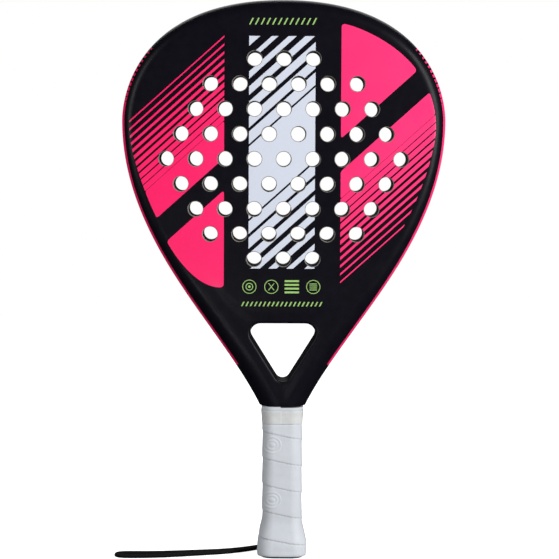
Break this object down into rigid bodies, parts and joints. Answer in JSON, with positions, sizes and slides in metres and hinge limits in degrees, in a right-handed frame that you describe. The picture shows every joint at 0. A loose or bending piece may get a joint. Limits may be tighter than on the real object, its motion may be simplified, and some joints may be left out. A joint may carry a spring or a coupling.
{
  "type": "padel racket",
  "caption": "Teardrop padel racket: drilled foam sandwich head with a tubular frame, open throat, wrapped handle and a wrist cord.",
  "frame": {"origin": "middle of the butt's flat end, where the racket stands", "axes": "+Z from the butt to the tip of the head, +X to the right of the front face, which looks along -Y"},
  "size_m": [0.2625, 0.051, 0.445],
  "materials": {
    "frame_paint": "glossy pink paint over a woven composite tube",
    "throat_paint": "black satin paint over a composite tube",
    "front_laminate": "black satin lacquer with a pink, pale grey and green print",
    "back_laminate": "black satin lacquer with a pink, pale grey and green print",
    "core_foam": "dark grey closed-cell foam, drilled",
    "filler_foam": "stiff beige foam",
    "film": "thin clear-yellow nylon film",
    "spine": "sanded wood",
    "cap": "dark blue-grey moulded rubber",
    "steel": "plain wire",
    "grip_cushion": "black perforated cushion grip",
    "grip_wrap": "pale grey tacky overgrip, matt",
    "tape": "pale grey vinyl tape",
    "cord": "black braided polyester"
  },
  "bodies": {
    "root": {"frame_tube": "frame_paint", "frame_bladder": "film", "throat_tube": "throat_paint", "throat_tube_filling": "filler_foam", "throat_foam_left": "filler_foam", "throat_foam_right": "filler_foam", "foam_core": "core_foam", "front_face": "front_laminate", "back_face": "back_laminate", "handle_core": "spine", "butt_cap": "cap", "cap_staple_front": "steel", "cap_staple_back": "steel", "base_grip": "grip_cushion", "overgrip": "grip_wrap", "finishing_tape": "tape", "wrist_cord": "cord", "cord_knot": "cord"}
  },
  "joints": []
}
